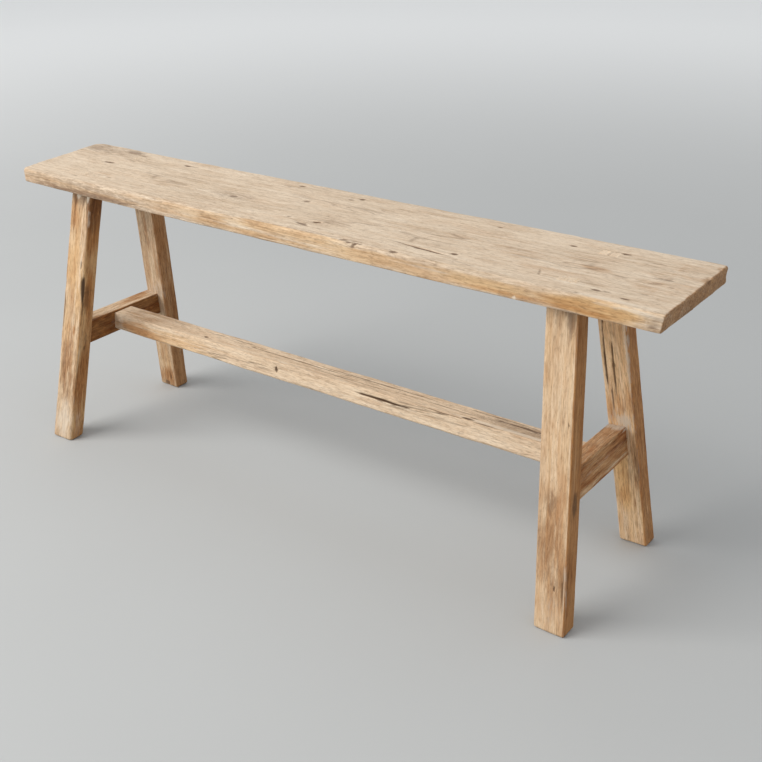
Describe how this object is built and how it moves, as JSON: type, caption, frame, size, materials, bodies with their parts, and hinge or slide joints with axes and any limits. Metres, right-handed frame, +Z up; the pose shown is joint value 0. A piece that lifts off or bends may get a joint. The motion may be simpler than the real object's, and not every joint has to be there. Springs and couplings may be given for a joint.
{
  "type": "backless bench",
  "caption": "Rustic backless trestle bench: a long plank seat on splayed legs, with end rails and a long stretcher joined by pegged and wedged tenons.",
  "frame": {"origin": "centre of the footprint at floor level, below the middle of the seat", "axes": "+X along the seat towards its square end, +Y across the seat towards its long edge, +Z up"},
  "size_m": [1.2047, 0.3062, 0.48],
  "materials": {
    "seat_wood": "weathered, dry, bleached pale tan with dark streaks and worm slots",
    "leg_wood": "dry honey-tan timber with worn pale edges and cracks",
    "rail_wood": "dry reddish-brown timber",
    "stretcher_wood": "dry golden-tan timber with long fine cracks",
    "wedge_wood": "pale hardwood wedge, end grain, worn flush",
    "peg_wood": "brown hardwood peg, end grain"
  },
  "bodies": {
    "root": {"seat": "seat_wood", "leg_front_left": "leg_wood", "leg_front_right": "leg_wood", "leg_back_left": "leg_wood", "leg_back_right": "leg_wood", "end_rail_left": "rail_wood", "end_rail_right": "rail_wood", "stretcher": "stretcher_wood", "tenon_wedge_front_left": "wedge_wood", "tenon_wedge_front_right": "wedge_wood", "tenon_wedge_back_left": "wedge_wood", "tenon_wedge_back_right": "wedge_wood", "rail_peg_front_left": "peg_wood", "rail_peg_front_right": "peg_wood", "rail_peg_back_left": "peg_wood", "rail_peg_back_right": "peg_wood", "stretcher_peg_left": "peg_wood", "stretcher_peg_right": "peg_wood"}
  },
  "joints": []
}
